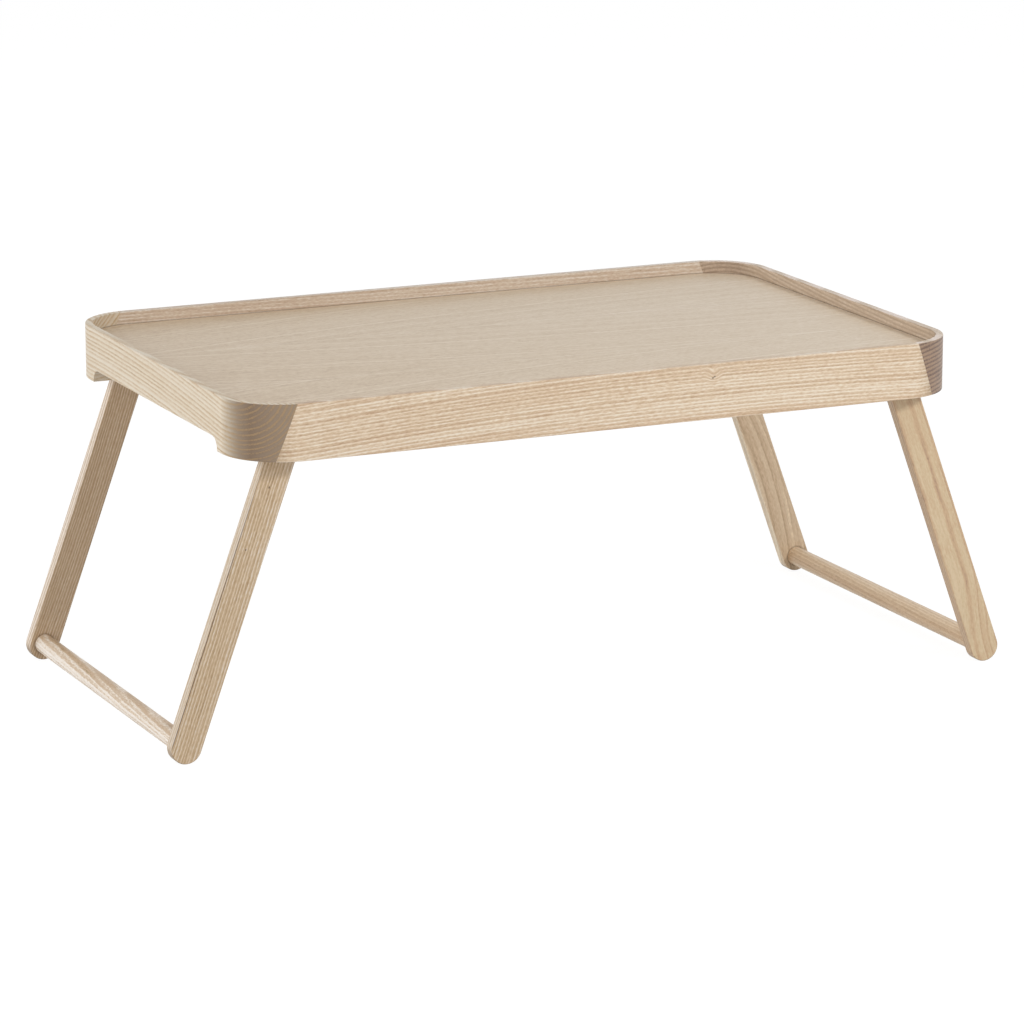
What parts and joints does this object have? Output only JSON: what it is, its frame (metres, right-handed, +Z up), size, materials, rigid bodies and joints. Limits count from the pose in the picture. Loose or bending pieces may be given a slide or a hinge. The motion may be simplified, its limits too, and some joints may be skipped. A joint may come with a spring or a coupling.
{
  "type": "breakfast tray",
  "caption": "Rounded wooden bed tray with a low rim, hand grips in its ends and splayed leg frames that fold flat under the panel.",
  "frame": {"origin": "on the floor under the middle of the tray, legs open", "axes": "+X along the tray to the right, +Y from the front rail to the back rail, +Z up"},
  "size_m": [0.7022, 0.38, 0.2698],
  "materials": {
    "ash_veneer": "sliced ash veneer with a pale matt oil",
    "ash_rail": "planed and sanded ash with a pale matt oil",
    "ash_end": "shaped and sanded ash with a pale matt oil, end grain at the corners",
    "ash_leg": "planed and sanded ash with a pale matt oil",
    "beech_dowel": "turned beech, glued in",
    "brass": "turned, plain",
    "steel": "zinc plated",
    "nylon": "natural moulded nylon"
  },
  "bodies": {
    "tray": {"tray_panel": "ash_veneer", "front_rail": "ash_rail", "back_rail": "ash_rail", "left_end_piece": "ash_end", "right_end_piece": "ash_end", "corner_dowels": "beech_dowel", "pivot_inserts": "brass", "pivot_bolts": "steel", "spacer_washers": "nylon", "spring_washers": "steel"},
    "left_leg_frame": {"left_front_leg": "ash_leg", "left_back_leg": "ash_leg", "left_stretcher": "ash_leg", "left_pivot_bushes": "nylon"},
    "right_leg_frame": {"right_front_leg": "ash_leg", "right_back_leg": "ash_leg", "right_stretcher": "ash_leg", "right_pivot_bushes": "nylon"}
  },
  "joints": [
    {"name": "left_fold", "type": "hinge", "parent": "tray", "child": "left_leg_frame", "pos_m": [-0.25618, 0, 0.23981], "axis": [0, -1, 0], "range_deg": [0, 110]},
    {"name": "right_fold", "type": "hinge", "parent": "tray", "child": "right_leg_frame", "pos_m": [0.25618, 0, 0.23981], "axis": [0, 1, 0], "range_deg": [0, 110]}
  ]
}
